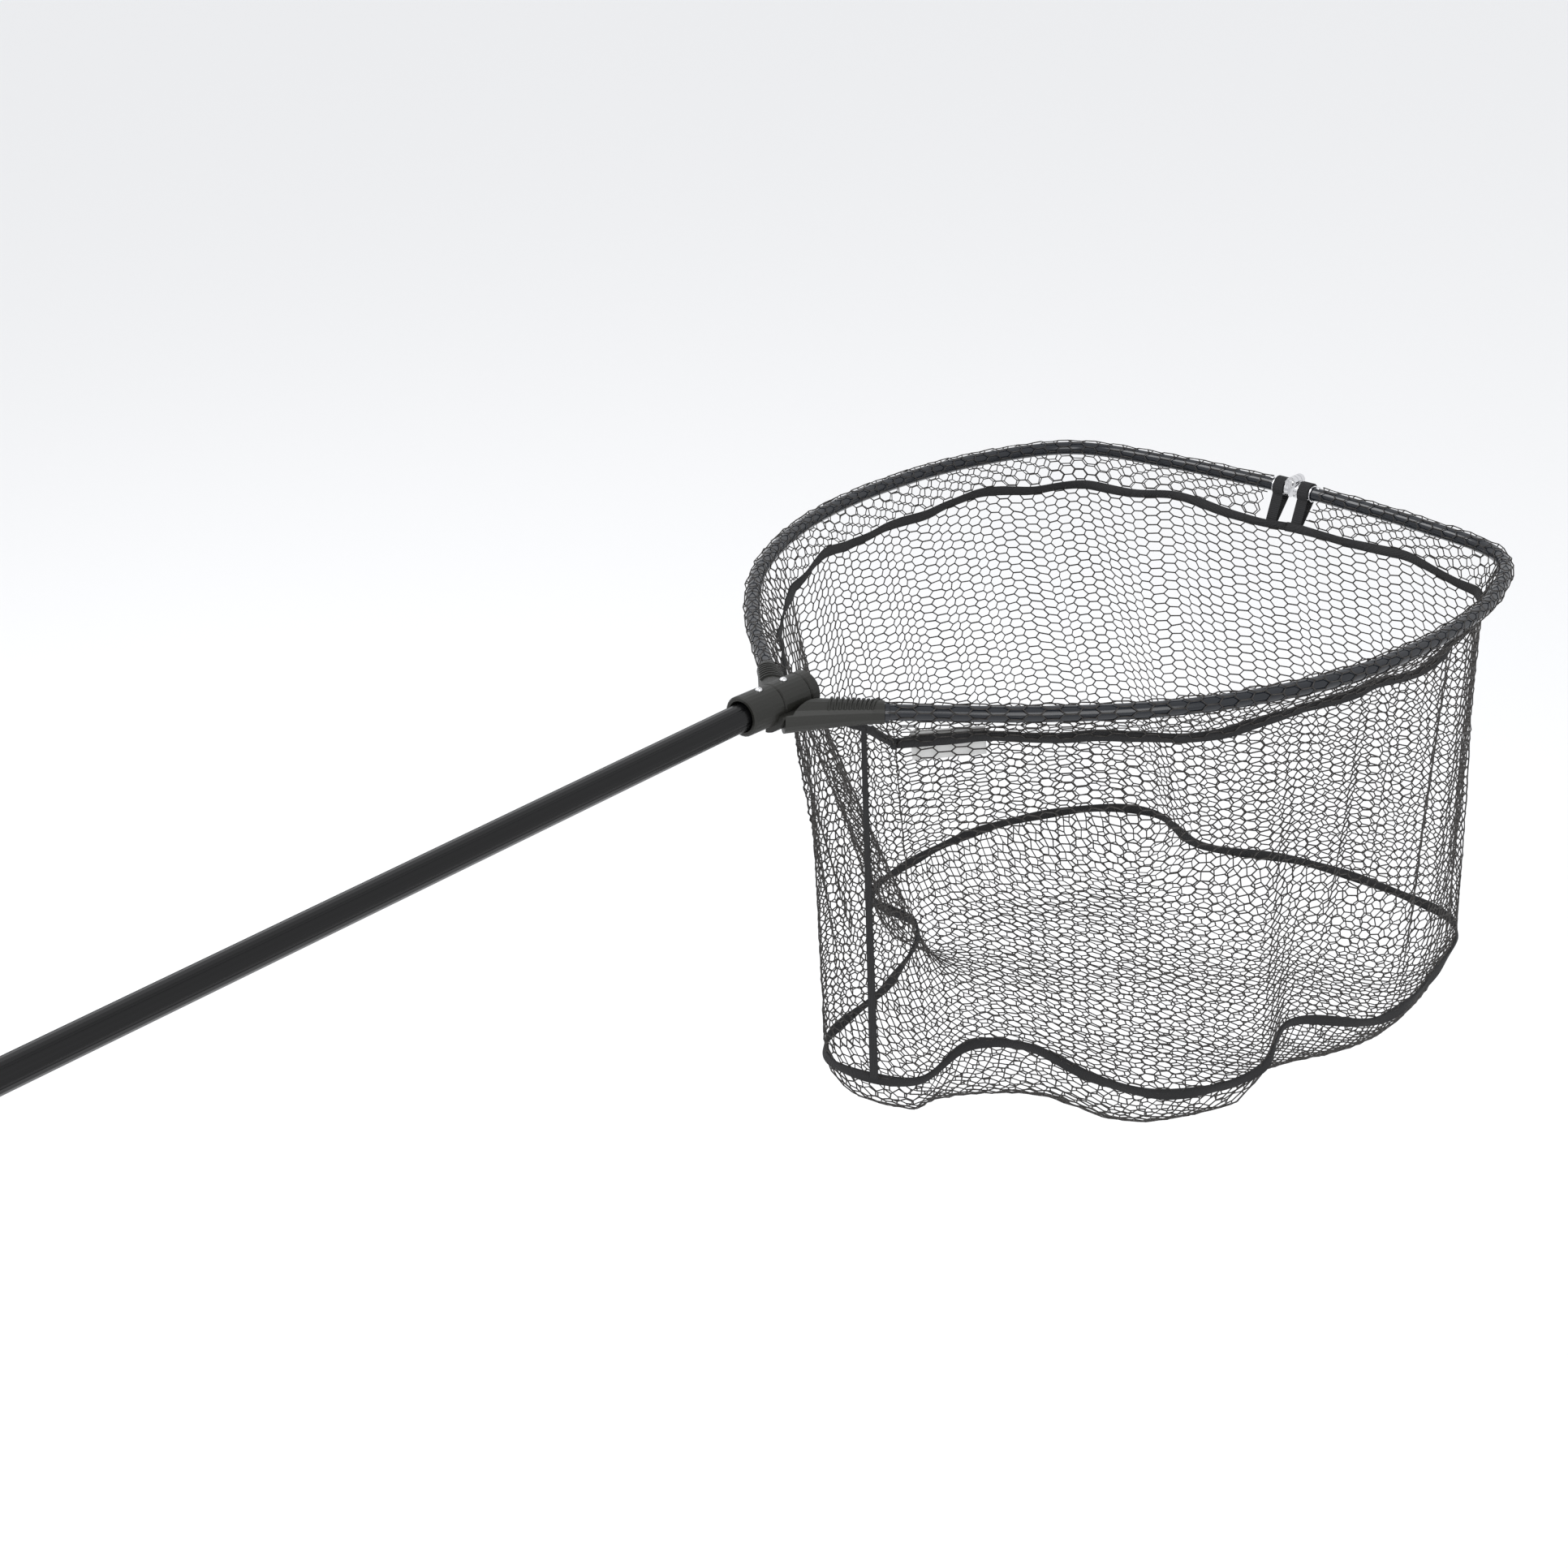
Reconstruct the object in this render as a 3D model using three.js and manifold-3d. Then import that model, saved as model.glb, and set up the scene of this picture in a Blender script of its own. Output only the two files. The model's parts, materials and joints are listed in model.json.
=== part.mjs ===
// Folding landing net: a telescopic handle, a two-arm head that folds like a book about one axis,
// and a deep meshed bag. Millimetres, +X along the handle towards the head, +Z up.
// The origin is the centre of the butt cap's flat end face.
import * as THREE from 'three';
import { mergeVertices } from 'three/addons/utils/BufferGeometryUtils.js';
import Module from 'manifold-3d';

// Handle
const BUTT_WALL = 8;
const LOWER_END = 737;
const LOWER_R = 14.5;
const LOWER_BORE_R = 13.2;
const GRIP_LENGTH = 330;
const GRIP_R = 18;
const COLLAR_LENGTH = 58;
const COLLAR_R = 18.5;
const SHAFT_START = 637;
const SHAFT_R = 12;
const SHAFT_BORE_R = 10.5;
const KEYWAY_DEPTH = 0.6;
const KEYWAYS = 6;

// Head: it has its own frame, +X along the fold axis, tipped down from the handle at the yoke
const YOKE_X = 1510;
const HEAD_DROOP = THREE.MathUtils.degToRad(2.5);
const YOKE_AT = -170;
const BARREL_R = 17.5;
const BARREL_BORE_R = 13.3;
const JOURNAL_R = 13;
const NEAR_KNUCKLE = [-186, -150];
const MIDDLE_KNUCKLE = [-149.2, -117.2];
const END_RING = [-116.4, -106];
const BUTTON_R = 3.25;

// Frame tubes: one side's centreline from socket to front hinge, mirrored for the other
const TUBE_R = 7;
const TUBE_WALL = 1.5;
const TUBE_Z = -9.5;
const SIDE = [
  [-81, 67], [9, 170], [108, 251], [240, 308], [386, 325], [518, 308], [620, 257], [650, 151], [659, 60],
];
const HINGE_X = 661;
const TUBE_END_Y = 8;
const GAP = 0.3;

// Bag
const NET_TOP = -24;
const NET_BOTTOM = -400;
const NET_SAG = 58;
const NET_WALL = 1.2;
const NET_SHRINK = 0.83;
const NET_AROUND = 40;
const TAPE_WIDTH = 10;
const TAPE_DROP = 40;

const wasm = await Module();
wasm.setup();
const part = new THREE.Group();
part.name = 'landing_net';
const toRow = new THREE.Matrix4().makeTranslation(YOKE_X, 0, 0)
  .multiply(new THREE.Matrix4().makeRotationY(HEAD_DROOP))
  .multiply(new THREE.Matrix4().makeTranslation(-YOKE_AT, 0, 0));

const PAINT = {
  anodised: [0x101114, 0.3, 0.8],
  plastic: [0x3a3a34, 0.6, 0],
  rubber: [0x2a2724, 0.8, 0],
  foam: [0x1b1b1b, 0.95, 0],
  steel: [0xc9c9cb, 0.25, 1],
  webbing: [0x141414, 0.95, 0],
  label: [0xd8d8d6, 0.6, 0],
};

function add(name, geometry, paint) {
  const [color, roughness, metalness] = PAINT[paint];
  const material = new THREE.MeshStandardMaterial({ color, roughness, metalness });
  material.name = paint;
  const mesh = new THREE.Mesh(geometry, material);
  mesh.name = name;
  part.add(mesh);
}

function addToHead(name, geometry, paint) {
  add(name, geometry.applyMatrix4(toRow), paint);
}

// One closed skin over a run of rings of points. A looped run joins its last ring to its first;
// an open run is capped flat at both ends.
function skin(rings, looped) {
  const n = rings[0].length;
  const points = rings.flat().map((p) => p.clone());
  const faces = [];
  const runs = looped ? rings.length : rings.length - 1;
  for (let i = 0; i < runs; i += 1) {
    const a = i * n;
    const b = ((i + 1) % rings.length) * n;
    for (let j = 0; j < n; j += 1) {
      const k = (j + 1) % n;
      faces.push([a + j, a + k, b + k], [a + j, b + k, b + j]);
    }
  }
  if (!looped) {
    for (const [ring, turned] of [[0, true], [rings.length - 1, false]]) {
      const centre = rings[ring].reduce((s, p) => s.add(p), new THREE.Vector3()).divideScalar(n);
      points.push(centre);
      for (let j = 0; j < n; j += 1) {
        const pair = [ring * n + j, ring * n + ((j + 1) % n)];
        faces.push([...(turned ? pair.reverse() : pair), points.length - 1]);
      }
    }
  }
  let volume = 0;
  for (const [a, b, c] of faces) {
    volume += points[a].dot(new THREE.Vector3().crossVectors(points[b], points[c]));
  }
  const geometry = new THREE.BufferGeometry();
  geometry.setAttribute('position', new THREE.Float32BufferAttribute(points.flatMap((p) => p.toArray()), 3));
  geometry.setIndex(faces.flatMap((f) => (volume < 0 ? [f[0], f[2], f[1]] : f)));
  geometry.computeVertexNormals();
  return geometry;
}

function circle(centre, u, v, radius, segments) {
  const ring = [];
  for (let i = 0; i < segments; i += 1) {
    const t = (i / segments) * 2 * Math.PI;
    ring.push(centre.clone().addScaledVector(u, radius * Math.cos(t)).addScaledVector(v, radius * Math.sin(t)));
  }
  return ring;
}

const X = new THREE.Vector3(1, 0, 0);
const Y = new THREE.Vector3(0, 1, 0);
const Z = new THREE.Vector3(0, 0, 1);

// Turned body about a line from base along a direction; profile is [distance along, radius] pairs
function turned(profile, looped, segments = 24, base = new THREE.Vector3(), along = X) {
  const side = Math.abs(along.z) > 0.9 ? X : Z;
  const u = new THREE.Vector3().crossVectors(side, along).normalize();
  const v = new THREE.Vector3().crossVectors(along, u);
  const rings = profile.map(([d, r]) => circle(base.clone().addScaledVector(along, d), u, v, r, segments));
  return skin(rings, looped);
}

function ringBody(start, end, outer, inner, segments = 32) {
  return turned([[start, outer], [end, outer], [end, inner], [start, inner]], true, segments);
}

function box(x, y, z) {
  const geometry = new THREE.BoxGeometry(x[1] - x[0], y[1] - y[0], z[1] - z[0]);
  return geometry.translate((x[0] + x[1]) / 2, (y[0] + y[1]) / 2, (z[0] + z[1]) / 2);
}

function solid(geometry) {
  const bare = geometry.clone();
  bare.deleteAttribute('normal');
  bare.deleteAttribute('uv');
  const merged = mergeVertices(bare, 1e-4);
  return new wasm.Manifold(new wasm.Mesh({
    numProp: 3,
    vertProperties: new Float32Array(merged.attributes.position.array),
    triVerts: new Uint32Array(merged.index.array),
  }));
}

function combine(base, { plus = [], minus = [] }) {
  let body = solid(base);
  for (const geometry of plus) body = body.add(solid(geometry));
  for (const geometry of minus) body = body.subtract(solid(geometry));
  const mesh = body.getMesh();
  const geometry = new THREE.BufferGeometry();
  geometry.setAttribute('position', new THREE.Float32BufferAttribute(mesh.vertProperties, 3));
  geometry.setIndex(new THREE.Uint32BufferAttribute(mesh.triVerts, 1));
  geometry.computeVertexNormals();
  return geometry;
}

// Rings along a level path, each upright and square to it
function ringsAlong(curve, radius, count, segments) {
  const rings = [];
  for (let i = 0; i <= count; i += 1) {
    const across = new THREE.Vector3().crossVectors(Z, curve.getTangentAt(i / count)).normalize();
    const size = typeof radius === 'function' ? radius(i / count) : radius;
    rings.push(circle(curve.getPointAt(i / count), across, Z, size, segments));
  }
  return rings;
}

// ---- Handle ----
add('butt_cap', turned([
  [0, GRIP_R - 2], [2, GRIP_R], [24, GRIP_R], [24, LOWER_R + GAP], [BUTT_WALL, LOWER_R + GAP],
], false, 40), 'rubber');
add('lower_tube', ringBody(BUTT_WALL + GAP, LOWER_END, LOWER_R, LOWER_BORE_R, 40), 'anodised');
add('grip', turned([
  [24 + GAP, GRIP_R - 0.5], [26, GRIP_R], [GRIP_LENGTH - 12, GRIP_R], [GRIP_LENGTH, GRIP_R - 2.5],
  [GRIP_LENGTH, LOWER_R + GAP], [24 + GAP, LOWER_R + GAP],
], true, 32), 'foam');

const collarStart = LOWER_END - COLLAR_LENGTH + 12;
const buttonX = LOWER_END - 26;
const collarBody = turned([
  [collarStart, COLLAR_R - 2], [collarStart + 3, COLLAR_R], [LOWER_END + 9, COLLAR_R],
  [LOWER_END + 12, COLLAR_R - 3], [LOWER_END + 12, SHAFT_R + GAP], [LOWER_END + GAP, SHAFT_R + GAP],
  [LOWER_END + GAP, LOWER_R + GAP], [collarStart, LOWER_R + GAP],
], true, 28);
const buttonHole = turned([[LOWER_R - 2, BUTTON_R + 0.5], [COLLAR_R + 4, BUTTON_R + 0.5]], false, 20,
  new THREE.Vector3(buttonX, 0, 0), Z);
add('lock_collar', combine(collarBody, { minus: [buttonHole] }), 'plastic');
// The button stands clear of the tube by its own travel
add('length_button', turned([
  [LOWER_R + 2.4, BUTTON_R], [COLLAR_R + 0.6, BUTTON_R], [COLLAR_R + 2, BUTTON_R * 0.8], [COLLAR_R + 2.8, BUTTON_R * 0.4],
], false, 16, new THREE.Vector3(buttonX, 0, 0), Z), 'steel');

// Grooved shaft with a round bore
function grooved(x) {
  const ring = [];
  for (let i = 0; i < KEYWAYS; i += 1) {
    for (const [share, depth] of [[0, KEYWAY_DEPTH], [0.12, KEYWAY_DEPTH], [0.16, 0], [0.44, 0], [0.72, 0], [0.96, 0]]) {
      const t = ((i + share) / KEYWAYS) * 2 * Math.PI;
      const r = SHAFT_R - depth;
      ring.push(new THREE.Vector3(x, r * Math.cos(t), r * Math.sin(t)));
    }
  }
  return ring;
}
function boreRing(x) {
  return circle(new THREE.Vector3(x, 0, 0), Y, Z, SHAFT_BORE_R, KEYWAYS * 6);
}
const shaftEnd = YOKE_X + NEAR_KNUCKLE[0] - YOKE_AT + 6;
add('shaft', skin([
  grooved(SHAFT_START + 20), grooved(shaftEnd), boreRing(shaftEnd), boreRing(SHAFT_START + 20),
], true), 'anodised');
add('guide_bush', turned([
  [SHAFT_START, LOWER_BORE_R - GAP], [SHAFT_START + 20 - GAP, LOWER_BORE_R - GAP],
  [SHAFT_START + 20 - GAP, SHAFT_BORE_R - 1], [SHAFT_START, SHAFT_BORE_R - 1],
], true, 32), 'plastic');

// ---- Yoke ----
// The journal carries the three knuckle rings; its tail plugs the shaft's bore
const journal = turned([
  [NEAR_KNUCKLE[0] + 8, JOURNAL_R], [END_RING[1] - 3, JOURNAL_R],
], false, 40);
const tail = turned([[shaftEnd - 60, SHAFT_BORE_R - GAP], [shaftEnd + 12, SHAFT_BORE_R - GAP]], false, 36)
  .applyMatrix4(toRow.clone().invert());
addToHead('yoke_journal', combine(journal, { plus: [tail] }), 'plastic');

function knuckle([start, end], mouth = 0) {
  return turned([
    [start, BARREL_R - 1.5], [start + 1.2, BARREL_R], [end - 1, BARREL_R], [end, BARREL_R - 1],
    [end, BARREL_BORE_R], [start + mouth, BARREL_BORE_R], [start, BARREL_BORE_R + mouth * 0.15],
  ], true, 28);
}

// Socket arm: leaves the barrel low on its own side and turns out to meet the frame tube
function socketPath(from, hand) {
  const [first, second] = SIDE;
  const run = new THREE.Vector2(second[0] - first[0], second[1] - first[1]).normalize();
  return new THREE.QuadraticBezierCurve3(
    new THREE.Vector3(from, hand * 10, TUBE_Z + 1),
    new THREE.Vector3(first[0] - 30 * run.x, hand * (first[1] - 30 * run.y), TUBE_Z),
    new THREE.Vector3(first[0], hand * first[1], TUBE_Z),
  );
}
function socket(from, hand) {
  return skin(ringsAlong(socketPath(from, hand), (t) => 15.5 - 5.5 * Math.min(1, t * 1.15), 8, 20), false);
}
function tubeClearance(hand) {
  const [x, y] = SIDE[0];
  const run = new THREE.Vector3(SIDE[1][0] - x, hand * (SIDE[1][1] - y), 0).normalize();
  return turned([[-18, TUBE_R + GAP], [8, TUBE_R + GAP]], false, 24,
    new THREE.Vector3(x, hand * y, TUBE_Z), run);
}
function buttonWell(x) {
  return turned([[BARREL_BORE_R - 2, BUTTON_R + 0.4], [BARREL_R + 4, BUTTON_R + 0.4]], false, 20,
    new THREE.Vector3(x, 0, 0), Z);
}
const nearButtonX = -164;
const middleButtonX = -134;
const bore = turned([[NEAR_KNUCKLE[0] - 1, BARREL_BORE_R], [END_RING[1] + 4, BARREL_BORE_R]], false, 28);

const clearOfMiddle = ringBody(MIDDLE_KNUCKLE[0] - 0.5, MIDDLE_KNUCKLE[1] + 0.5, BARREL_R + 0.6, 1, 28);

// The right arm holds the near knuckle and the end ring, joined by a bridge outside the middle one
const bridge = combine(
  ringBody(NEAR_KNUCKLE[1] - 8, END_RING[1] - 1, BARREL_R + 5, BARREL_R - 1, 28),
  { minus: [clearOfMiddle, box([-200, -90], [-2, 40], [-40, 40]), box([-200, -90], [-40, 0], [-3, 40])] },
);
const endRing = combine(knuckle(END_RING), {
  plus: [turned([[END_RING[1] - 2.6, BARREL_R - 2], [END_RING[1], BARREL_R - 4]], false, 28)],
});
// Near the barrel both sockets stay below the fold axis, so that they don't meet when both arms are up
const foldSpace = box([-220, -90], [-25, 25], [-3, 40]);
const rightSocket = combine(socket(-146, -1), {
  minus: [bore, clearOfMiddle, foldSpace, box([-220, 0], [-2, 60], [-60, 60])],
});
addToHead('right_yoke', combine(knuckle(NEAR_KNUCKLE, 3), {
  plus: [endRing, bridge, rightSocket],
  minus: [tubeClearance(-1), buttonWell(nearButtonX)],
}), 'plastic');

const leftSocket = combine(socket(-130, 1), {
  minus: [
    bore,
    foldSpace,
    box([-220, MIDDLE_KNUCKLE[0]], [-60, 60], [-60, 60]),
    ringBody(END_RING[0] - 1.2, END_RING[1] + 2, BARREL_R + 0.8, 1, 28),
    box([-220, 0], [-60, 2], [-60, 60]),
  ],
});
addToHead('left_yoke', combine(knuckle(MIDDLE_KNUCKLE), {
  plus: [leftSocket],
  minus: [tubeClearance(1), buttonWell(middleButtonX)],
}), 'plastic');

// Pressed in, a snap button passes under the bridge when both arms are folded
for (const [name, x] of [['right_snap_button', nearButtonX], ['left_snap_button', middleButtonX]]) {
  addToHead(name, turned([
    [BARREL_BORE_R + 2.3, BUTTON_R], [BARREL_R + 0.2, BUTTON_R], [BARREL_R + 1.2, BUTTON_R * 0.85],
    [BARREL_R + 2, BUTTON_R * 0.45],
  ], false, 16, new THREE.Vector3(x, 0, 0), Z), 'steel');
}

// ---- Frame ----
function sideCurve(hand) {
  const points = [...SIDE, [HINGE_X, 32], [HINGE_X, TUBE_END_Y]];
  return new THREE.CatmullRomCurve3(points.map(([x, y]) => new THREE.Vector3(x, hand * y, TUBE_Z)));
}
function rimPoint(t) {
  const hand = t < 0.5 ? 1 : -1;
  return sideCurve(hand).getPointAt(t < 0.5 ? t * 2 : 2 - t * 2);
}
for (const [side, hand] of [['left', 1], ['right', -1]]) {
  const curve = sideCurve(hand);
  const outer = ringsAlong(curve, TUBE_R, 32, 12);
  const inner = ringsAlong(curve, TUBE_R - TUBE_WALL, 32, 12).reverse();
  const [x, y] = SIDE[0];
  const run = curve.getTangentAt(0);
  addToHead(`${side}_frame_tube`, skin([...outer, ...inner], true), 'anodised');
  addToHead(`${side}_ferrule`, turned([
    [GAP, TUBE_R + 2.2], [4, TUBE_R + 1.6], [4, TUBE_R + GAP], [GAP, TUBE_R + GAP],
  ], true, 24, new THREE.Vector3(x, hand * y, TUBE_Z), run), 'anodised');
}

// Front hinge: two eyes on the left casting straddle one on the right, all on the fold axis
const EYE_R = 6;
const PIN_R = 2;
function casting(hand, eyes, clearances) {
  const base = new THREE.Vector3(HINGE_X, 0, TUBE_Z);
  const along = new THREE.Vector3(0, hand, 0);
  const cup = turned([
    [3, 9], [23, 8.8], [23, TUBE_R + 0.7], [TUBE_END_Y - GAP, TUBE_R + 0.7],
  ], false, 28, base, along);
  const lugs = eyes.map(([a, b]) => {
    const span = hand > 0 ? [0, 7] : [-7, 0];
    return box([a, b], span, [-5.5, 0.5]);
  });
  const rings = eyes.map(([a, b]) => turned([[a, EYE_R], [b, EYE_R]], false, 24));
  const gaps = clearances.map(([a, b]) => turned([[a, EYE_R + 0.6], [b, EYE_R + 0.6]], false, 24));
  const pinHole = turned([[HINGE_X - 20, PIN_R + 0.2], [HINGE_X + 20, PIN_R + 0.2]], false, 20);
  return combine(cup, { plus: [...lugs, ...rings], minus: [...gaps, pinHole] });
}
const BACK_EYE = [HINGE_X - 9, HINGE_X - 3.4];
const MIDDLE_EYE = [HINGE_X - 3, HINGE_X + 3];
const FRONT_EYE = [HINGE_X + 3.4, HINGE_X + 9];
addToHead('left_hinge_casting', casting(1, [BACK_EYE, FRONT_EYE], [[MIDDLE_EYE[0] - 0.4, MIDDLE_EYE[1] + 0.4]]), 'steel');
addToHead('right_hinge_casting', casting(-1, [MIDDLE_EYE], [
  [BACK_EYE[0] - 0.5, BACK_EYE[1] + 0.4], [FRONT_EYE[0] - 0.4, FRONT_EYE[1] + 0.5],
]), 'steel');
addToHead('hinge_pin', turned([
  [HINGE_X - 10.6, 2.6], [HINGE_X - 9.3, 3.6], [HINGE_X - 9.3, PIN_R], [HINGE_X + 9.3, PIN_R],
  [HINGE_X + 9.3, 3.6], [HINGE_X + 10.6, 2.6],
], false, 20), 'steel');

// Dome rivets on top of the tube ends and under the sockets
function rivet(x, y, z, up) {
  const along = new THREE.Vector3(0, 0, up);
  return turned([[0, 2.6], [0.8, 2.4], [1.6, 1.4]], false, 16, new THREE.Vector3(x, y, z), along);
}
for (const [side, hand] of [['left', 1], ['right', -1]]) {
  const end = new THREE.Vector3(SIDE[0][0] - 8, hand * (SIDE[0][1] - 9), 0);
  addToHead(`${side}_socket_rivet`, rivet(end.x, end.y, TUBE_Z - 10.6, -1), 'steel');
  addToHead(`${side}_casting_rivet`, rivet(HINGE_X, hand * 28, TUBE_Z + TUBE_R + 0.1, 1), 'steel');
  const loopRings = [[9, 10.8], [21, 10.8], [21, 9.3], [9, 9.3]];
  addToHead(`${side}_webbing_loop`, turned(loopRings, true, 24,
    new THREE.Vector3(HINGE_X, 0, TUBE_Z), new THREE.Vector3(0, hand, 0)), 'webbing');
}

// ---- Bag ----
const rim = Array.from({ length: NET_AROUND }, (_, i) => rimPoint((i + 0.5) / NET_AROUND));
const middle = new THREE.Vector3(300, -12, 0);
// Outline at a height, grown sideways by an amount
function outline(z, grow) {
  const t = (NET_TOP - z) / (NET_TOP - NET_BOTTOM);
  const share = 1 - (1 - NET_SHRINK) * t;
  return rim.map((p) => {
    const out = p.clone().sub(middle).setZ(0);
    const length = out.length() * share + grow;
    return out.setLength(length).add(middle).setZ(z);
  });
}
function hoop(low, high, inner, outer, steps = 1) {
  const rings = [];
  for (let i = 0; i <= steps; i += 1) rings.push(outline(high + (low - high) * (i / steps), outer));
  for (let i = steps; i >= 0; i -= 1) rings.push(outline(high + (low - high) * (i / steps), inner));
  return skin(rings, true);
}
addToHead('net_wall', hoop(NET_BOTTOM, NET_TOP, -NET_WALL, 0, 4), 'rubber');
addToHead('top_tape', hoop(TUBE_Z - TAPE_DROP - TAPE_WIDTH, TUBE_Z - TAPE_DROP, GAP, 1.8), 'webbing');
addToHead('bottom_tape', hoop(NET_BOTTOM, NET_BOTTOM + TAPE_WIDTH, GAP, 1.8), 'webbing');

const floorEdge = outline(NET_BOTTOM, -1);
const floorMiddle = new THREE.Vector3(middle.x, middle.y, 0);
function floorRing(share, under) {
  return floorEdge.map((p) => {
    const at = p.clone().setZ(0).lerp(floorMiddle, 1 - share);
    return at.setZ(NET_BOTTOM - GAP - NET_SAG * (1 - share ** 2) - under);
  });
}
const shares = [0.15, 0.4, 0.7, 1];
addToHead('net_floor', skin([
  ...shares.map((s) => floorRing(s, 0)), ...shares.slice().reverse().map((s) => floorRing(s, NET_WALL)),
], false), 'rubber');

// Straight strips against the wall: the seam tape outside it and the care label inside it
function strip(index, width, high, low, inner, outer) {
  const rings = [];
  for (let i = 0; i <= 4; i += 1) {
    const z = high + (low - high) * (i / 4);
    const near = outline(z, inner)[index];
    const far = outline(z, outer)[index];
    const next = outline(z, inner)[(index + 1) % NET_AROUND].clone().sub(near).setLength(width);
    rings.push([near, near.clone().add(next), far.clone().add(next), far]);
  }
  return skin(rings, false);
}
const wallFrom = TUBE_Z - TAPE_DROP - TAPE_WIDTH - GAP;
addToHead('seam_tape', strip(NET_AROUND - 1, 9, wallFrom, NET_BOTTOM + TAPE_WIDTH + GAP, 1.2, 2.4), 'webbing');
addToHead('care_label', strip(NET_AROUND - 3, 40, wallFrom + 9, wallFrom - 26, -NET_WALL - 1.4, -NET_WALL - 0.6), 'label');

export default part;
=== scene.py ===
import json
import math

import bpy
import numpy as np
from mathutils import Matrix, Vector


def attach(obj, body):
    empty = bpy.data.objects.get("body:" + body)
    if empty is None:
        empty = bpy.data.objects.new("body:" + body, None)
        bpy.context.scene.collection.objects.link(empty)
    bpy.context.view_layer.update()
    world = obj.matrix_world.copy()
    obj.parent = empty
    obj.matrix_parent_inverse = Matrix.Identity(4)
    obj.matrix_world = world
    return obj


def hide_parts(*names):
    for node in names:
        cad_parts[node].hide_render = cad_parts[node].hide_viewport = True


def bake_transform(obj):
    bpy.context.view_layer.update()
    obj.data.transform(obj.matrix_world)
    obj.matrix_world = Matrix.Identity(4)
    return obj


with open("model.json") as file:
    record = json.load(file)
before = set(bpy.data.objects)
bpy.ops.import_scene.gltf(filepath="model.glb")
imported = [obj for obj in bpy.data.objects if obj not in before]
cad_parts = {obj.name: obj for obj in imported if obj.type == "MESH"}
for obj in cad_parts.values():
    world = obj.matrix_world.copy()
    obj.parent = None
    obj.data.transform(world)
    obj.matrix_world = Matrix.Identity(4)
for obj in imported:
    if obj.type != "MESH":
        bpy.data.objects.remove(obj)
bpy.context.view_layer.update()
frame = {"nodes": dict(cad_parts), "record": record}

rng = np.random.default_rng(7)
nodes = frame["nodes"]

# The head has its own frame: +X along the fold axis, +Z out of the bag's mouth. Sizes in metres.
YOKE_X = 1.510
YOKE_AT = -0.170
HEAD_DROOP = math.radians(2.5)
HEAD = (
    Matrix.Translation((YOKE_X, 0, 0))
    @ Matrix.Rotation(HEAD_DROOP, 4, "Y")
    @ Matrix.Translation((-YOKE_AT, 0, 0))
)

TUBE_R = 0.007
TUBE_Z = -0.0095
HINGE_X = 0.661
# Plan of one frame tube, from its socket round to the front hinge: along the fold axis, and out from it
SIDE = [
    (-0.081, 0.067), (0.009, 0.170), (0.108, 0.251), (0.240, 0.308), (0.386, 0.325),
    (0.518, 0.308), (0.620, 0.257), (0.650, 0.151), (0.659, 0.060),
    (HINGE_X, 0.032), (HINGE_X, 0.008),
]

# Mesh bag: flat-topped hexagons longer round the bag than they are tall
COLUMN = 0.0145
ROW = 0.0092
TOP_STRAND = 0.0100
STRAND_R = 0.00068
TAPE_DROP = 0.034
TAPE_INSET = 0.018
TAPE_WIDTH = 0.009
BAG_BOTTOM = -0.405
BAG_SAG = 0.064
# How far in from the hem the floor's sag, and the hem's own rises, take to settle
SAG_REACH = 0.024
HEM_REACH = 0.040
# The hem between wall and floor, from the yoke round by the right arm.
# It hangs in a few wide folds, and rises where the netting buckles.
HEM = [
    (-0.045, 0.015, -0.405), (-0.020, -0.065, -0.400), (0.020, -0.090, -0.370), (0.055, -0.130, -0.370),
    (0.080, -0.195, -0.390), (0.125, -0.245, -0.405), (0.205, -0.290, -0.395), (0.250, -0.285, -0.370),
    (0.365, -0.320, -0.400), (0.485, -0.310, -0.405), (0.600, -0.270, -0.405), (0.620, -0.190, -0.405),
    (0.605, -0.080, -0.400), (0.565, 0.020, -0.400), (0.605, 0.110, -0.405), (0.580, 0.160, -0.405),
    (0.470, 0.220, -0.405), (0.350, 0.235, -0.405), (0.225, 0.205, -0.400), (0.210, 0.130, -0.400),
    (0.110, 0.080, -0.405), (-0.020, 0.050, -0.405),
]


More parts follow.
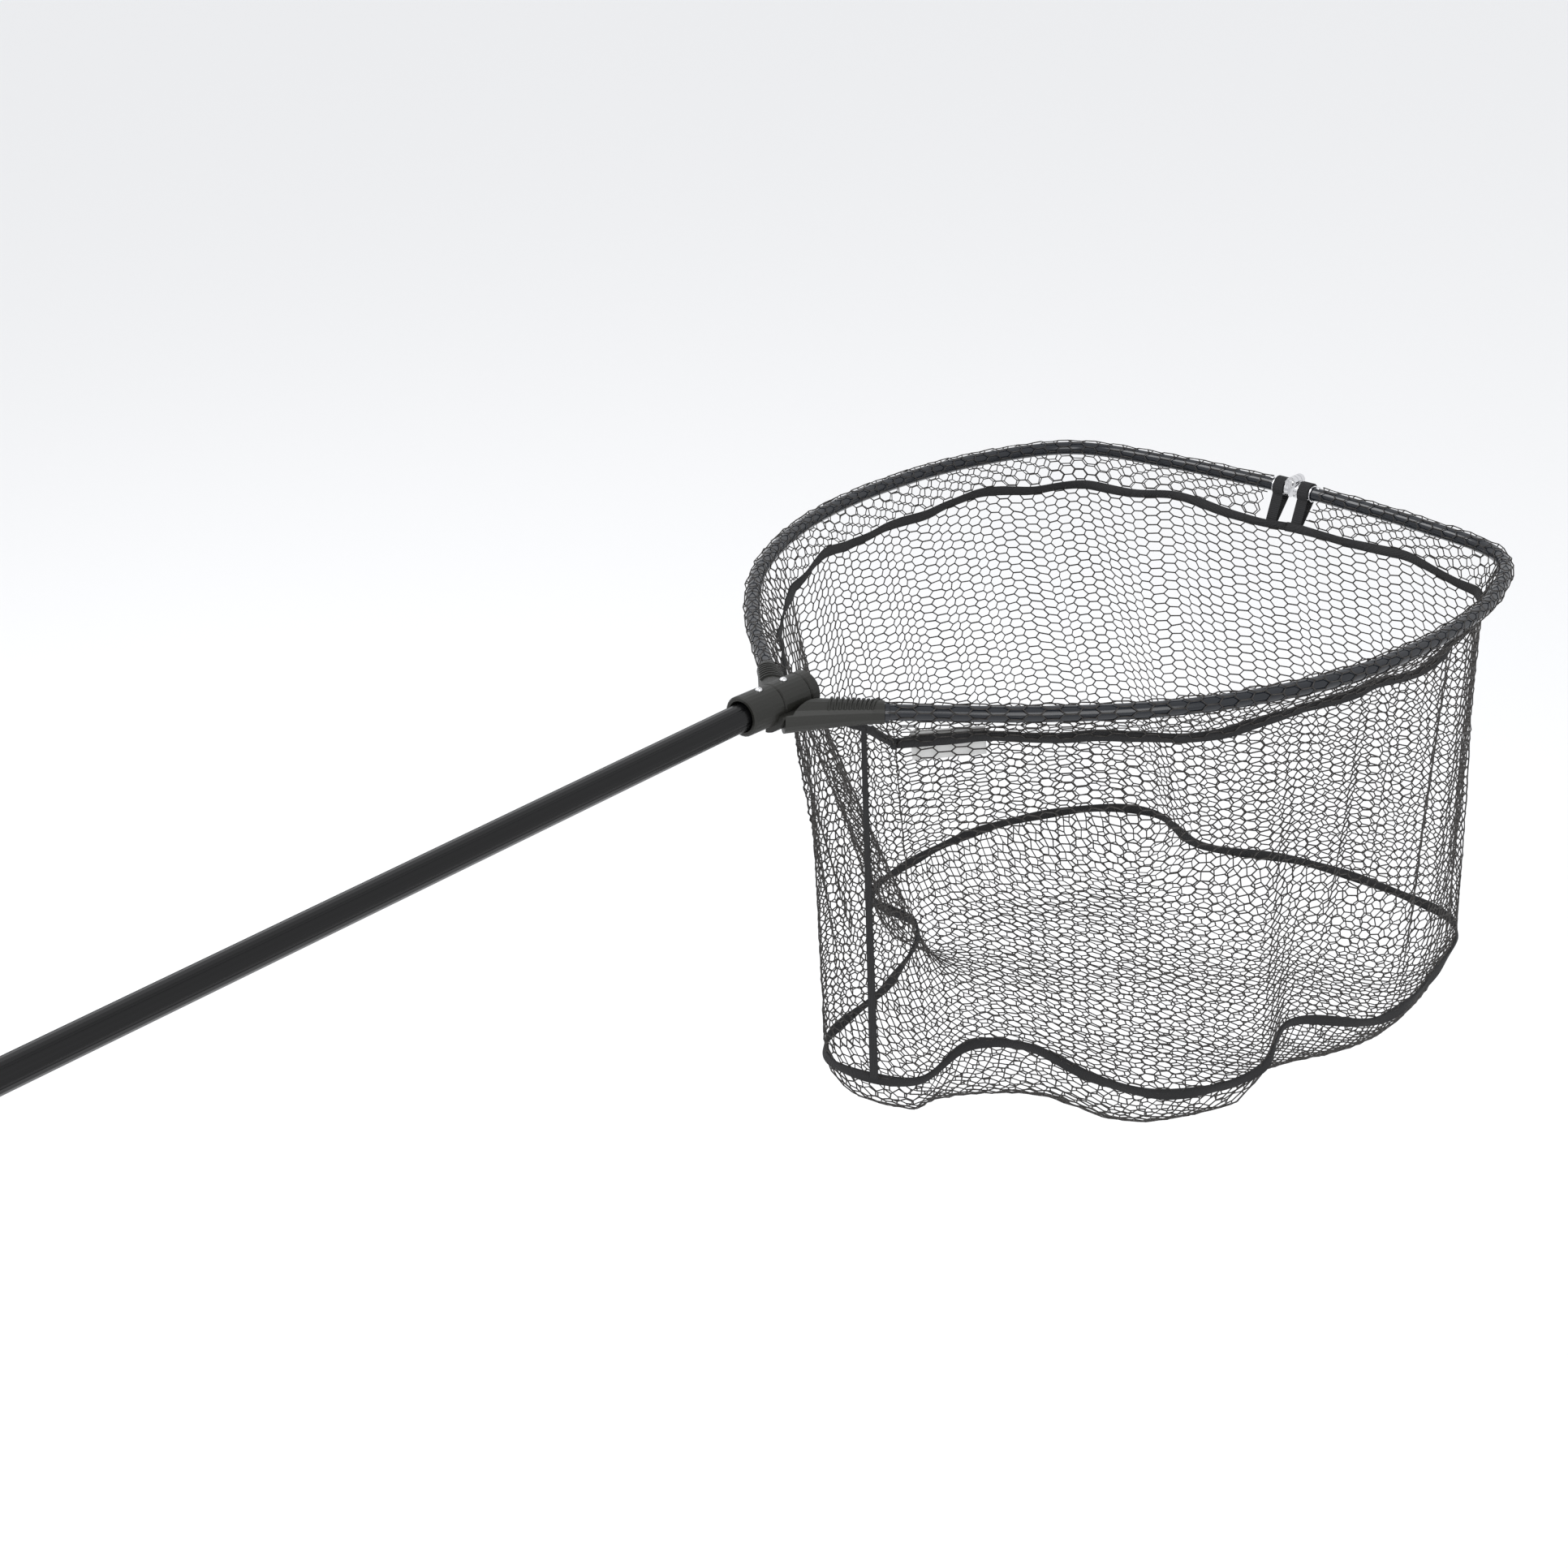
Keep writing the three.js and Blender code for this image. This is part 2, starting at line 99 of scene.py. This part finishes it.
# ---------- Materials ----------
def material(name, color, roughness, metallic=0.0, mottle=0.1, scale=200.0, bump=0.1, stretch=(1, 1, 1),
             pattern="noise", rough_spread=0.08, specular=0.5):
    """Principled material whose colour, roughness and relief all vary with one procedural pattern."""
    mat = bpy.data.materials.new(name)
    mat.use_nodes = True
    tree = mat.node_tree
    shader = tree.nodes["Principled BSDF"]
    shader.inputs["Metallic"].default_value = metallic
    shader.inputs["Specular IOR Level"].default_value = specular
    coords = tree.nodes.new("ShaderNodeTexCoord")
    mapping = tree.nodes.new("ShaderNodeMapping")
    mapping.inputs["Scale"].default_value = stretch
    tree.links.new(coords.outputs["Object"], mapping.inputs["Vector"])
    if pattern == "weave":
        texture = tree.nodes.new("ShaderNodeTexWave")
        texture.inputs["Distortion"].default_value = 2.0
        texture.inputs["Detail"].default_value = 2.0
    else:
        texture = tree.nodes.new("ShaderNodeTexNoise")
        texture.inputs["Detail"].default_value = 5.0
    texture.inputs["Scale"].default_value = scale
    value = texture.outputs["Fac"]
    tree.links.new(mapping.outputs["Vector"], texture.inputs["Vector"])
    ramp = tree.nodes.new("ShaderNodeValToRGB")
    dark = [c * (1 - mottle) for c in color]
    light = [min(1.0, c * (1 + mottle)) for c in color]
    ramp.color_ramp.elements[0].color = (*dark, 1)
    ramp.color_ramp.elements[1].color = (*light, 1)
    tree.links.new(value, ramp.inputs["Fac"])
    tree.links.new(ramp.outputs["Color"], shader.inputs["Base Color"])
    spread = tree.nodes.new("ShaderNodeMapRange")
    spread.inputs["To Min"].default_value = max(0.02, roughness - rough_spread)
    spread.inputs["To Max"].default_value = min(1.0, roughness + rough_spread)
    tree.links.new(value, spread.inputs["Value"])
    tree.links.new(spread.outputs["Result"], shader.inputs["Roughness"])
    relief = tree.nodes.new("ShaderNodeBump")
    relief.inputs["Strength"].default_value = bump
    relief.inputs["Distance"].default_value = 0.0004
    tree.links.new(value, relief.inputs["Height"])
    tree.links.new(relief.outputs["Normal"], shader.inputs["Normal"])
    return mat


MATS = {
    "anodised": material("black_anodised", (0.007, 0.009, 0.013), 0.17, 0.0, 0.25, 90, 0.04, (0.15, 4, 4),
                         rough_spread=0.04),
    "shaft": material("shaft_anodised", (0.003, 0.003, 0.0032), 0.22, 0.0, 0.5, 420, 0.25, (0.004, 1, 1),
                      rough_spread=0.08, specular=0.3),
    "yoke_plastic": material("yoke_plastic", (0.012, 0.012, 0.0098), 0.46, 0.0, 0.14, 900, 0.35,
                             specular=0.4),
    "net_rubber": material("net_rubber", (0.020, 0.017, 0.015), 0.5, 0.0, 0.3, 350, 0.3),
    "cap_rubber": material("cap_rubber", (0.018, 0.018, 0.018), 0.7, 0.0, 0.2, 600, 0.4),
    "grip_foam": material("grip_foam", (0.016, 0.016, 0.016), 0.88, 0.0, 0.3, 1100, 0.9),
    "bright_steel": material("bright_steel", (0.72, 0.72, 0.73), 0.2, 1.0, 0.08, 300, 0.12),
    "webbing": material("black_webbing", (0.013, 0.013, 0.014), 0.9, 0.0, 0.4, 420, 0.9, pattern="weave"),
    "label": material("label_satin", (0.62, 0.62, 0.61), 0.5, 0.0, 0.04, 700, 0.2),
}


def dress(obj, mat):
    obj.data.materials.clear()
    obj.data.materials.append(MATS[mat])


def new_piece(name, points, faces, mat, smooth=True):
    """Mesh object from head-frame points, placed in the row frame."""
    placed = [HEAD @ Vector(p) for p in points]
    mesh = bpy.data.meshes.new(name)
    mesh.from_pydata([tuple(p) for p in placed], [], faces)
    mesh.update()
    obj = bpy.data.objects.new(name, mesh)
    bpy.context.scene.collection.objects.link(obj)
    if smooth:
        mesh.shade_smooth()
    dress(obj, mat)
    return obj


# ---------- Curves ----------
def spline(control, count, closed=False):
    """Even points on a centripetal Catmull-Rom curve."""
    p = np.array(control, float)
    if closed:
        p = np.vstack([p[-1], p, p[0], p[1]])
    else:
        p = np.vstack([2 * p[0] - p[1], p, 2 * p[-1] - p[-2]])
    fine = []
    for a, b, c, d in zip(p[:-3], p[1:-2], p[2:-1], p[3:]):
        t1 = np.linalg.norm(b - a) ** 0.5
        t2 = t1 + np.linalg.norm(c - b) ** 0.5
        t3 = t2 + np.linalg.norm(d - c) ** 0.5
        t = np.linspace(t1, t2, 24, endpoint=False)[:, None]
        ab = (t1 - t) / t1 * a + t / t1 * b
        bc = (t2 - t) / (t2 - t1) * b + (t - t1) / (t2 - t1) * c
        cd = (t3 - t) / (t3 - t2) * c + (t - t2) / (t3 - t2) * d
        abc = (t2 - t) / t2 * ab + t / t2 * bc
        bcd = (t3 - t) / (t3 - t1) * bc + (t - t1) / (t3 - t1) * cd
        fine.append((t2 - t) / (t2 - t1) * abc + (t - t1) / (t2 - t1) * bcd)
    fine.append(p[-2:-1])
    fine = np.vstack(fine)
    along = np.concatenate([[0], np.cumsum(np.linalg.norm(np.diff(fine, axis=0), axis=1))])
    at = np.linspace(0, along[-1], count, endpoint=not closed)
    return np.stack([np.interp(at, along, fine[:, i]) for i in range(fine.shape[1])], axis=1)


def sweep(name, path, profile, mat, closed=False):
    """Level sweep: profile(i) gives (outward, up) offsets round the section at path point i."""
    n = len(path)
    if closed:
        run = np.roll(path, -1, axis=0) - np.roll(path, 1, axis=0)
    else:
        run = np.gradient(path, axis=0)
    run[:, 2] = 0
    run /= np.linalg.norm(run, axis=1)[:, None]
    side = np.stack([run[:, 1], -run[:, 0], 0 * run[:, 0]], axis=1)
    points = []
    for i in range(n):
        section = profile(i)
        k = len(section)
        for a, b in section:
            points.append(path[i] + side[i] * a + np.array([0, 0, b]))
    faces = []
    for i in range(n if closed else n - 1):
        for j in range(k):
            a, b = i * k, (i + 1) % n * k
            faces.append((a + j, b + j, b + (j + 1) % k, a + (j + 1) % k))
    if not closed:
        faces.append(tuple(range(k)))
        faces.append(tuple(reversed(range((n - 1) * k, n * k))))
    return new_piece(name, points, faces, mat)


def round_section(radius, sides=28):
    angles = np.linspace(0, 2 * math.pi, sides, endpoint=False)
    return [(radius * math.cos(t), radius * math.sin(t)) for t in angles]


# ---------- Frame tubes ----------
for side, hand in (("left", 1), ("right", -1)):
    path = spline([(x, hand * y, TUBE_Z) for x, y in SIDE], 220)
    tube = sweep(f"{side}_rim_tube", path, lambda i: round_section(TUBE_R), "anodised")
    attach(tube, f"{side}_arm")
    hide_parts(f"{side}_frame_tube")

# ---------- Rim and hem as matched closed loops ----------
LOOP = 720
rim_control = [(x, -y) for x, y in SIDE[:-2]] + [(HINGE_X, 0.0)] + SIDE[-3::-1]
rim_loop = spline(rim_control, LOOP * 9 // 10)
back = np.linspace(rim_loop[-1], rim_loop[0], LOOP // 10 + 2)[1:-1]
gap_half = len(back) // 2
rim_loop = np.vstack([back[gap_half:], rim_loop, back[:gap_half]])
hem_loop = spline(HEM, len(rim_loop), closed=True)


def loop_length(loop):
    return float(np.linalg.norm(np.roll(loop, -1, axis=0) - loop, axis=1).sum())


def on_loop(loop, u):
    at = (np.asarray(u) % 1.0) * len(loop)
    i = np.floor(at).astype(int) % len(loop)
    f = (at - np.floor(at))[..., None]
    return loop[i] * (1 - f) + loop[(i + 1) % len(loop)] * f


def outward(u):
    step = on_loop(rim_loop, np.asarray(u) + 0.002) - on_loop(rim_loop, np.asarray(u) - 0.002)
    step /= np.linalg.norm(step, axis=-1)[..., None]
    return np.stack([step[..., 1], -step[..., 0]], axis=-1)


phases = rng.uniform(0, 2 * math.pi, 6)
BAG_DEPTH = TUBE_Z - BAG_BOTTOM


def tape_wave(u):
    """How far the top tape rides up or down round the rim."""
    long_wave = 0.0032 * np.sin(2 * math.pi * 9 * u + phases[3])
    short_wave = 0.0022 * np.sin(2 * math.pi * 17 * u + phases[5])
    return long_wave + short_wave


def hang(u, drop):
    """Point on the bag's wall: u round the bag, drop metres below the rim."""
    u = np.asarray(u, float)
    share = np.clip(drop / BAG_DEPTH, 0, 1)
    shape = (share ** 1.15)[..., None]
    foot = on_loop(hem_loop, u)
    inset = TAPE_INSET * ease(share * BAG_DEPTH / TAPE_DROP) * (1 - share)
    flat = on_loop(rim_loop, u) * (1 - shape) + foot[..., :2] * shape - outward(u) * inset[..., None]
    ripple = sum(
        np.sin(2 * math.pi * k * u + phases[i]) * size
        for i, (k, size) in enumerate([(19, 0.0022), (31, 0.0016), (47, 0.0010)])
    )
    flat = flat + outward(u) * (ripple * np.sin(math.pi * share) * 1.6)[..., None]
    z = TUBE_Z + share * (foot[..., 2] - TUBE_Z)
    z = z + 0.0016 * np.sin(2 * math.pi * 23 * u + phases[4]) * np.sin(math.pi * share)
    z = z + tape_wave(u) * ease(share * BAG_DEPTH / TAPE_DROP) * (1 - share)
    return np.concatenate([flat, z[..., None]], axis=-1)


def ease(t):
    t = np.clip(t, 0, 1)
    return t * t * (3 - 2 * t)


# ---------- Hexagon netting ----------
def hexagons(columns, rows, row_start=0.0):
    """Nodes (column position, row position) and strands of flat-topped hexagons, on a unit grid."""
    half = TOP_STRAND / COLUMN / 2
    i, j = np.meshgrid(np.arange(columns), np.arange(rows), indexing="ij")
    y = row_start + j + 0.5 * (i % 2)
    left = np.stack([i - half, y], axis=-1)
    right = np.stack([i + half, y], axis=-1)
    grid = np.stack([left, right], axis=2).reshape(-1, 2)

    def index(a, b, end):
        return (a * rows + b) * 2 + end

    pairs = [np.stack([index(i, j, 0), index(i, j, 1)], axis=-1).reshape(-1, 2)]
    inner_i, inner_j = np.meshgrid(np.arange(columns - 1), np.arange(rows), indexing="ij")
    odd = inner_i % 2
    for shift in (0, 1):
        k = inner_j + shift - (1 - odd)
        ok = (k >= 0) & (k < rows)
        a = index(inner_i, inner_j, 1)[ok]
        b = index(inner_i + 1, k, 0)[ok]
        pairs.append(np.stack([a, b], axis=-1))
    return grid, np.vstack(pairs)


def strands(name, start, end, normal, radius):
    """One netting piece: a four-sided rubber strand between each pair of points."""
    run = end - start
    length = np.linalg.norm(run, axis=1)
    keep = length > 1e-5
    start, end, run, length = start[keep], end[keep], run[keep], length[keep]
    run = run / length[:, None]
    across = np.cross(run, normal[keep] + [0.0011, 0.0007, 0.0013])
    across /= np.linalg.norm(across, axis=1)[:, None]
    up = np.cross(across, run)
    thick = radius * (0.9 + 0.25 * rng.random(len(start)))[:, None]
    over = run * radius * 0.5
    corners = []
    for base in (start - over, end + over):
        for c, s in ((1, 0), (0, 1), (-1, 0), (0, -1)):
            corners.append(base + (across * c + up * s) * thick)
    points = np.stack(corners, axis=1).reshape(-1, 3)
    base = (np.arange(len(start)) * 8)[:, None]
    quads = [[0, 1, 5, 4], [1, 2, 6, 5], [2, 3, 7, 6], [3, 0, 4, 7], [3, 2, 1, 0], [4, 5, 6, 7]]
    faces = np.concatenate([base + np.array(q)[None] for q in quads]).tolist()
    return new_piece(name, points.tolist(), faces, "net_rubber")


def hang_from_arm(obj):
    """Bakes the piece's placement into its mesh."""
    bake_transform(obj)


def split_strands(name, a, b, normal, radius, replaces=()):
    """Makes the left and right halves of a run of netting, cut where the head folds."""
    middle = (a[:, 1] + b[:, 1]) / 2
    for side, hand in (("left", 1), ("right", -1)):
        pick = middle * hand > 0
        obj = strands(f"{side}_{name}", a[pick], b[pick], normal[pick], radius)
        hang_from_arm(obj)
        if replaces:
            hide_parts(*replaces)


perimeter = loop_length(rim_loop)
columns = 2 * round(perimeter / COLUMN / 2)


def net_on(place, name, grid, pairs, radius, replaces=(), slack=0.00035):
    spots = place(grid)
    spots = spots + rng.normal(0, slack, spots.shape)
    a, b = spots[pairs[:, 0]], spots[pairs[:, 1]]
    mid = grid[pairs].mean(axis=1)
    east = place(mid + [0.2, 0]) - place(mid - [0.2, 0])
    south = place(mid + [0, 0.2]) - place(mid - [0, 0.2])
    normal = np.cross(east, south)
    normal /= np.maximum(np.linalg.norm(normal, axis=1), 1e-9)[:, None]
    split_strands(name, a, b, normal, radius, replaces)


def wall(g):
    return hang(g[:, 0] / columns, TAPE_DROP + g[:, 1] * ROW)


wall_rows = round((BAG_DEPTH - TAPE_DROP) / ROW) + 1
grid, pairs = hexagons(columns + 1, wall_rows)
net_on(wall, "net_wall", grid, pairs, STRAND_R, ["net_wall"])

# The sleeve: netting goes up outside the tube, over it and down inside to the same tape
SLEEVE_R = TUBE_R + 0.0011
ROUND = math.pi * SLEEVE_R


def sleeve(g):
    u = g[:, 0] / columns
    s = g[:, 1] * ROW
    out = outward(u)
    angle = np.clip((s - TAPE_DROP) / ROUND, 0, 1) * math.pi
    below_out = np.clip((TAPE_DROP - s) / TAPE_DROP, 0, 1)
    below_in = np.clip((s - TAPE_DROP - ROUND) / TAPE_DROP, 0, 1)
    below = below_out + below_in
    loose = np.abs(0.0006 * np.sin(120 * math.pi * u + s * 700) + 0.0009 * np.sin(u * 611))
    across = np.cos(angle) * (SLEEVE_R + loose) * (1 - 0.82 * ease(below))
    up = np.sin(angle) * (SLEEVE_R + loose)
    tube_line = np.concatenate([on_loop(rim_loop, u), np.full((len(u), 1), TUBE_Z)], axis=1)
    tape_line = hang(u, np.full(u.shape, TAPE_DROP))
    lift = np.concatenate([out * across[:, None], up[:, None]], axis=1)
    return tube_line * (1 - below)[:, None] + tape_line * below[:, None] + lift


sleeve_rows = int((2 * TAPE_DROP + ROUND) / ROW)
grid, pairs = hexagons(columns + 1, sleeve_rows)
spots = sleeve(grid)
mid = spots[pairs].mean(axis=1)
at_hinge = (mid[:, 0] > 0.5) & (np.abs(mid[:, 1]) < 0.030)
at_yoke = (mid[:, 0] < -0.050) & (np.abs(mid[:, 1]) < 0.052)
keep = ~(at_hinge | at_yoke)
net_on(sleeve, "net_sleeve", grid, pairs[keep], STRAND_R * 0.85, slack=0.00012)


# Floor netting, cut to the hem and sagging in the middle
FLOOR_CORNER = (-0.08, -0.36)
coarse_hem = hem_loop[::3]


def floor_xy(g):
    return np.stack([FLOOR_CORNER[0] + g[:, 1] * ROW, FLOOR_CORNER[1] + g[:, 0] * COLUMN], axis=1)


def inside_hem(xy):
    """Whether a ray along +X from each spot crosses the hem an odd number of times."""
    x, y = xy[:, 0][:, None], xy[:, 1][:, None]
    p, q = coarse_hem, np.roll(coarse_hem, -1, axis=0)
    crosses = (p[:, 1] > y) != (q[:, 1] > y)
    rise = q[:, 1] - p[:, 1]
    at = p[:, 0] + (y - p[:, 1]) / np.where(rise == 0, 1e-9, rise) * (q[:, 0] - p[:, 0])
    return (crosses & (x < at)).sum(axis=1) % 2 == 1


def floor_point(g):
    xy = floor_xy(g)
    gaps = np.linalg.norm(xy[:, None, :] - coarse_hem[None, :, :2], axis=2)
    near = gaps.argmin(axis=1)
    gap = gaps.min(axis=1)
    outside = ~inside_hem(xy)
    xy[outside] = coarse_hem[near[outside], :2]
    gap[outside] = 0
    edge = BAG_BOTTOM + (coarse_hem[near, 2] - BAG_BOTTOM) * np.exp(-gap / HEM_REACH)
    dimples = 0.004 * np.sin(xy[:, 0] * 31) * np.sin(xy[:, 1] * 27)
    z = edge - BAG_SAG * (1 - np.exp(-gap / SAG_REACH)) + dimples
    return np.concatenate([xy, z[:, None]], axis=1)


grid, pairs = hexagons(50, 80)
inside = inside_hem(floor_xy(grid))
net_on(floor_point, "net_floor", grid, pairs[inside[pairs].any(axis=1)], STRAND_R, ["net_floor"])


# ---------- Tapes ----------
def tape(name, path, thick, closed, hand, replaces):
    """Woven tape on edge along the path. It rides on the shaft, or with hand its placement is baked into its
    mesh.
    """
    half = TAPE_WIDTH / 2
    wave = rng.uniform(0, 6.28)

    def section(i):
        lean = 0.0012 * math.sin(i * 0.21 + wave)
        return [
            (-thick / 2 - lean, -half), (thick / 2 - lean, -half), (thick / 2, 0),
            (thick / 2 + lean, half), (-thick / 2 + lean, half), (-thick / 2, 0),
        ]

    obj = sweep(name, path, section, "webbing", closed)
    if hand:
        hang_from_arm(obj)
    else:
        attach(obj, "shaft")
    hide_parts(replaces)


for side, hand, u in (("right", -1, np.linspace(0, 0.5, 260)), ("left", 1, np.linspace(0.5, 1, 260))):
    around = hang(u, np.full(u.shape, TAPE_DROP))
    tape(f"{side}_top_tape", around, 0.0024, False, hand, "top_tape")
u = np.linspace(0, 1, 620, endpoint=False)
hem = hang(u, np.full(u.shape, BAG_DEPTH))
tape("bottom_hem", hem, 0.0026, True, None, "bottom_tape")


def upright_strip(name, u, width, top, bottom, out, mat, replaces, steps=40):
    """Thin strip down the wall at u, width metres across, from top to bottom metres below the rim."""
    across = width / perimeter
    drops = np.linspace(top, bottom, steps)
    points = []
    for d in drops:
        for side, lift in ((-0.5, out), (0.5, out), (0.5, out + 0.0009), (-0.5, out + 0.0009)):
            at = np.array([u + side * across])
            spot = hang(at, np.array([d]))[0]
            spot[:2] += outward(at)[0] * lift
            points.append(spot)
    faces = [(0, 1, 2, 3), tuple(4 * (steps - 1) + k for k in (3, 2, 1, 0))]
    for i in range(steps - 1):
        for k in range(4):
            a, b = 4 * i + k, 4 * i + (k + 1) % 4
            faces.append((a, a + 4, b + 4, b))
    obj = new_piece(name, points, faces, mat, smooth=False)
    hang_from_arm(obj)
    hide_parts(replaces)
    return obj


upright_strip("seam_ribbon", 0.021, 0.009, TAPE_DROP, BAG_DEPTH, 0.001, "webbing", "seam_tape")
care_label = upright_strip("blank_care_label", 0.072, 0.062, TAPE_DROP - 0.010, TAPE_DROP + 0.022, -0.006,
                           "label", "care_label", 8)


def webbing_loop(side, hand):
    """Band round the hinge casting that hangs down to the top tape."""
    radius = 0.0101
    angles = np.linspace(math.radians(-35), math.radians(215), 26)
    ring = [(radius * math.cos(a), radius * math.sin(a)) for a in angles]
    ring = [(-TAPE_INSET + 0.0014, -TAPE_DROP - 0.004)] + ring + [(-TAPE_INSET - 0.0014, -TAPE_DROP - 0.004)]
    points = []
    for a, b in ring:
        size = math.hypot(a, b)
        for grow in (0.0007, -0.0007):
            for y in (0.009, 0.021):
                points.append((HINGE_X + a * (1 + grow / size), hand * y, TUBE_Z + b * (1 + grow / size)))
    n = len(ring)
    faces = [(0, 1, 3, 2), tuple(4 * (n - 1) + k for k in (2, 3, 1, 0))]
    for i in range(n - 1):
        for k, m in ((0, 1), (1, 3), (3, 2), (2, 0)):
            faces.append((4 * i + k, 4 * i + 4 + k, 4 * i + 4 + m, 4 * i + m))
    obj = new_piece(f"{side}_hanging_loop", points, faces, "webbing", smooth=False)
    hang_from_arm(obj)
    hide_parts(f"{side}_webbing_loop")


def socket_ribs(side, hand, start, count):
    """Raised ribs across the top of a yoke socket."""
    run = Vector((0.090, hand * 0.103, 0)).normalized()
    ends = Vector((start, hand * 0.010, TUBE_Z + 0.001)), Vector((-0.081, hand * 0.067, TUBE_Z))
    bend = ends[1] - run * 0.030
    points, faces = [], []
    for k in range(count):
        t = 0.40 + 0.48 * k / (count - 1)
        spot = ends[0] * (1 - t) ** 2 + bend * 2 * t * (1 - t) + ends[1] * t * t
        along = ((bend - ends[0]) * (1 - t) + (ends[1] - bend) * t).normalized()
        across = Vector((0, 0, 1)).cross(along).normalized()
        radius = 0.0155 - 0.0055 * min(1, t * 1.15)
        base = len(points)
        arc = [math.radians(a) for a in range(35, 150, 10)]
        for a in arc:
            ray = across * math.cos(a) + Vector((0, 0, math.sin(a)))
            for lift, half in ((-0.0006, 0.0011), (0.0012, 0.0006), (0.0012, -0.0006), (-0.0006, -0.0011)):
                points.append(spot + ray * (radius + lift) + along * (half + 0.004 * math.cos(a)))
        for i in range(len(arc) - 1):
            for m in range(4):
                a, b = base + 4 * i + m, base + 4 * i + (m + 1) % 4
                faces.append((a, b, b + 4, a + 4))
        last = base + 4 * (len(arc) - 1)
        faces += [tuple(base + m for m in (3, 2, 1, 0)), tuple(last + m for m in range(4))]
    obj = new_piece(f"{side}_socket_ribs", points, faces, "yoke_plastic", smooth=False)
    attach(obj, f"{side}_arm")


for side, hand, start, count in (("left", 1, -0.130, 7), ("right", -1, -0.146, 10)):
    webbing_loop(side, hand)
    socket_ribs(side, hand, start, count)

# ---------- Lights, floor and camera ----------
floor_mesh = bpy.data.meshes.new("studio_floor")
FLOOR_HALF = 90
FLOOR_Z = -1.1
floor_corners = [(a * FLOOR_HALF, b * FLOOR_HALF, FLOOR_Z) for a, b in ((-1, -1), (1, -1), (1, 1), (-1, 1))]
floor_mesh.from_pydata(floor_corners, [], [(0, 1, 2, 3)])
floor = bpy.data.objects.new("studio_floor", floor_mesh)
bpy.context.scene.collection.objects.link(floor)
floor_mat = bpy.data.materials.new("studio_floor")
floor_mat.use_nodes = True
floor_mat.node_tree.nodes["Principled BSDF"].inputs["Base Color"].default_value = (0.9, 0.9, 0.9, 1)
floor_mat.node_tree.nodes["Principled BSDF"].inputs["Roughness"].default_value = 0.9
floor_mesh.materials.append(floor_mat)

world = bpy.data.worlds.new("studio")
world.use_nodes = True
world.node_tree.nodes["Background"].inputs["Color"].default_value = (0.97, 0.98, 1.0, 1)
world.node_tree.nodes["Background"].inputs["Strength"].default_value = 0.95
bpy.context.scene.world = world
bpy.context.scene.view_settings.view_transform = "Standard"


def soft_light(name, place, aim, size, power):
    lamp = bpy.data.lights.new(name, "AREA")
    lamp.size = size
    lamp.energy = power
    obj = bpy.data.objects.new(name, lamp)
    obj.location = place
    obj.rotation_euler = (Vector(aim) - Vector(place)).to_track_quat("-Z", "Y").to_euler()
    bpy.context.scene.collection.objects.link(obj)


soft_light("key", (1.0, 1.6, 2.4), (1.9, 0, -0.1), 1.6, 45)
soft_light("fill", (0.6, -2.2, 1.2), (1.9, 0, -0.2), 1.8, 30)

CAMERA = Vector((-1.5586, -1.3147, 0.8273))
AZIMUTH = math.radians(42.685)
ELEVATION = math.radians(25.058)
forward = Vector((
    math.cos(AZIMUTH) * math.cos(ELEVATION), math.sin(AZIMUTH) * math.cos(ELEVATION), -math.sin(ELEVATION),
))
right = Vector((math.sin(AZIMUTH), -math.cos(AZIMUTH), 0))
up = right.cross(forward)
facing = Matrix((
    (right.x, up.x, -forward.x, CAMERA.x),
    (right.y, up.y, -forward.y, CAMERA.y),
    (right.z, up.z, -forward.z, CAMERA.z),
    (0, 0, 0, 1),
))
camera = bpy.data.objects.new("camera", bpy.data.cameras.new("camera"))
camera.data.lens = 57.5
camera.matrix_world = HEAD @ facing
bpy.context.scene.collection.objects.link(camera)
bpy.context.scene.camera = camera

# ---------- CAD nodes that stay as they are, with their finish and softened edges ----------
FINISH = {m["node"]: m["material_slot"] for m in frame["record"]["subparts"]}
for name, node in nodes.items():
    if node.hide_render:
        continue
    slot = FINISH[name]
    dress(node, "shaft" if name == "shaft" else slot)
    node.data.shade_smooth()
    edge = node.modifiers.new("edge", "BEVEL")
    edge.width = 0.0004
    edge.segments = 2
    edge.limit_method = "ANGLE"
    edge.angle_limit = math.radians(35)
    edge.harden_normals = True
